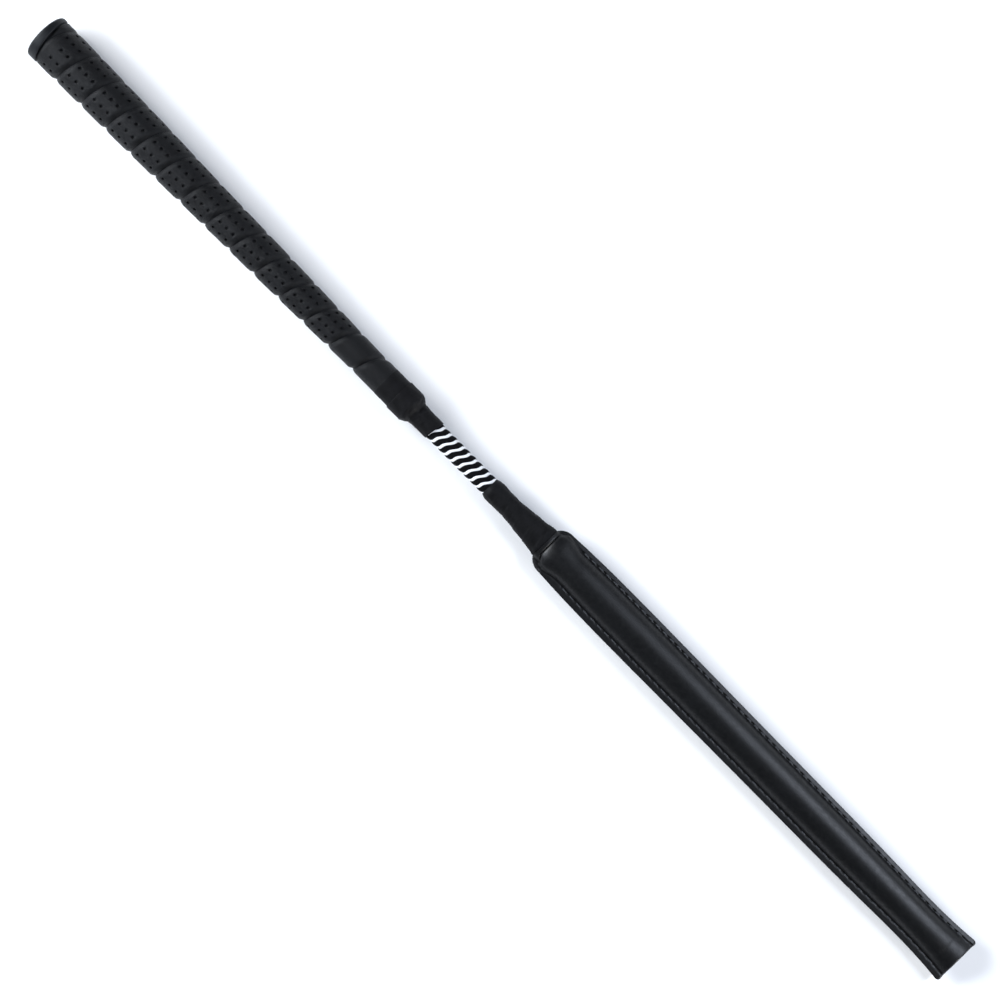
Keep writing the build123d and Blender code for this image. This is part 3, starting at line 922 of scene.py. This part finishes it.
def make_foam(flap, foam):
    """Two foam pads inside the cover, each with a channel for the rod."""
    rod = Surface("rod", "rod_tip_cap")
    first, last = flap.start + 3.5, flap.tip - 7.0
    stations = np.arange(first, last, 3.0)
    eta = np.linspace(-1, 1, 31)
    for name, sign in (("flap_foam_front", 1), ("flap_foam_back", -1)):
        grid = []
        for s in stations:
            half = float(flap.edge(s)) - (GROOVE_LEFT + GROOVE_RIGHT) / 2 - 2.0
            y = flap.shift + eta * half
            top = np.maximum(pad_height(flap, s, y, 1.7), 0.35)
            top = np.minimum(top, 0.35 + 2.0 * (s - first + 1.2))
            bore = rod.reach(s, 0, 1) + 0.15
            low = np.sqrt(np.maximum(bore**2 - y**2, 0)) + 0.1
            low = np.minimum(low, top - 0.15)
            outer = np.stack([np.full_like(y, s), y, sign * top], -1)
            inner = np.stack([np.full_like(y, s), y, sign * low], -1)[::-1]
            grid.append(np.concatenate([outer, inner]))
        grid = np.array(grid)
        count = grid.shape[1]
        faces, corners = grid_faces(len(grid), count, True)
        faces.append(tuple(range(count - 1, -1, -1)))
        faces.append(tuple((len(grid) - 1) * count + j for j in range(count)))
        uv = [(grid[i, j % count, 0], j * 0.7) for i, j in corners]
        uv += [(0.0, j * 0.7) for j in range(count)] * 2
        pad = mesh_piece(name + "_pad", grid.reshape(-1, 3), faces, uv)
        dress(pad, foam)
        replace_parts(pad, name, name.replace("flap_", "flap_end_"))
        bend_with_end(pad, flap)


def make_stitching(flap, thread):
    """One running stitch along each long edge: over the front, through, and along the back."""
    rows = (("left", 1, THREAD_LEFT, STITCH_START_LEFT), ("right", -1, THREAD_RIGHT, STITCH_START_RIGHT))
    for name, sign, inset, row_start in rows:
        count = int((flap.tip - 1.6 - row_start) / STITCH_PITCH)
        line = []
        for n in range(count):
            start = row_start + n * STITCH_PITCH
            hidden = (-1, start + STITCH_SHOWN, STITCH_PITCH - STITCH_SHOWN)
            for front, first, length in ((1, start, STITCH_SHOWN), hidden):
                for k in np.linspace(0, 1, 9):
                    s = first + k * length
                    y = sign * (float(flap.edge(s)) - inset)
                    skin = float(skin_height(flap, np.array([s]), np.array([y]), front > 0)[0])
                    arch = max(math.sin(math.pi * k), 0.0) ** 0.5
                    height = skin + THREAD_RADIUS * (1.9 * arch - 1.2)
                    line.append((s, y + 0.05 * lumps(s, n), front * height))
        line = np.array(line)
        ahead = heading(line)
        beside = square_to(ahead, np.tile(np.array([0.0, 1.0, 0.0]), (len(line), 1)))
        built = ([], [], [])
        tube(built, line, np.cross(ahead, beside), beside, THREAD_RADIUS)
        row = mesh_piece(f"stitching_{name}", *built, smooth_angle=80)
        dress(row, thread)
        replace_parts(row, f"flap_stitching_{name}", f"flap_end_stitching_{name}")
        bend_with_end(row, flap)


# ------------------------------------------------------------------------------------------------
# Inner CAD parts keep their shape and get a finish
# ------------------------------------------------------------------------------------------------
def dress_inner_parts(thread, leather, rubber):
    glass = moulded("fibreglass", (0.45, 0.43, 0.33), (0.62, 0.60, 0.50), lump=2.0, rough=0.35, depth=0.02)
    core = moulded("core_foam", (0.030, 0.030, 0.031), (0.055, 0.055, 0.057), lump=2.5, rough=0.8)
    sticky = moulded("adhesive_tape", (0.40, 0.38, 0.32), (0.58, 0.56, 0.50), lump=4.0, rough=0.6)
    finishes = {
        "rod": glass,
        "rod_tip_cap": rubber,
        "handle_core": core,
        "grip_under_tape": sticky,
        "upper_lashing": thread,
        "lower_lashing": thread,
        "neck_lashing": thread,
        "neck_tab_front": leather,
        "neck_tab_back": leather,
    }
    for node, finish in finishes.items():
        dress(frame["nodes"][node], finish)


# ------------------------------------------------------------------------------------------------
# Stage
# ------------------------------------------------------------------------------------------------
def make_stage():
    bpy.ops.mesh.primitive_plane_add(size=8.0, location=(0, 0, -0.0003))
    floor = bpy.context.object
    floor.name = "floor"
    dress(floor, floor_paint())

    world = bpy.data.worlds.new("world")
    world.use_nodes = True
    background = world.node_tree.nodes["Background"]
    background.inputs["Color"].default_value = (0.93, 0.96, 1.0, 1.0)
    background.inputs["Strength"].default_value = 0.065
    bpy.context.scene.world = world

    softbox("butt_side_light", (-0.85, -0.62, 0.72), (-0.20, 0.0, 0.0), (0.50, 0.50), 10.5, (0.83, 0.90, 1.0))
    softbox("tip_side_light", (0.58, 0.72, 0.86), (0.33, 0.0, 0.0), (0.26, 0.74), 12.2, (0.80, 0.87, 1.0))
    softbox("far_light_butt", (-2.2, -0.6, 1.2), (0.0, 0.0, 0.0), (1.4, 1.4), 85.0, (0.93, 0.96, 1.0))
    softbox("far_light_tip", (2.6, 0.0, 0.5), (0.2, 0.0, 0.0), (1.5, 0.6), 60.0, (1.0, 1.0, 1.0))


def softbox(name, at, towards, size, power, colour):
    """A rectangular soft light. The first side of its size lies as nearly along X as it can."""
    data = bpy.data.lights.new(name, "AREA")
    data.shape = "RECTANGLE"
    data.size, data.size_y = size
    data.energy = power
    data.color = colour
    lamp = bpy.data.objects.new(name, data)
    lamp.location = at
    back = (Vector(at) - Vector(towards)).normalized()
    side = (Vector((1, 0, 0)) - back * back.x).normalized()
    up = back.cross(side)
    lamp.rotation_euler = Matrix((side, up, back)).transposed().to_euler()
    bpy.context.scene.collection.objects.link(lamp)


# ------------------------------------------------------------------------------------------------
# The whole picture
# ------------------------------------------------------------------------------------------------
def main():
    bpy.context.scene.view_settings.view_transform = "Standard"
    make_camera()
    tape = binding_tape()
    leather = flap_leather()
    thread = yarn("stitch_thread", (0.020, 0.022, 0.027), (0.046, 0.051, 0.060), rough=0.55)
    binding_thread = yarn("lashing_thread", (0.010, 0.010, 0.012), (0.022, 0.022, 0.025), rough=0.6)
    foam = moulded("pad_foam", (0.24, 0.24, 0.25), (0.36, 0.36, 0.37), lump=1.5, rough=0.85)
    rubber = moulded("tip_rubber", (0.018, 0.018, 0.020), (0.030, 0.030, 0.032), rough=0.65)
    make_butt_cap()
    make_grip_wrap()
    make_finishing_band(tape)
    make_shoulder_tape(tape)
    make_braid()
    make_neck_tape(tape)
    flap = Flap()
    make_flap_cover(flap, leather)
    make_foam(flap, foam)
    make_stitching(flap, thread)
    dress_inner_parts(binding_thread, leather, rubber)
    make_stage()


main()
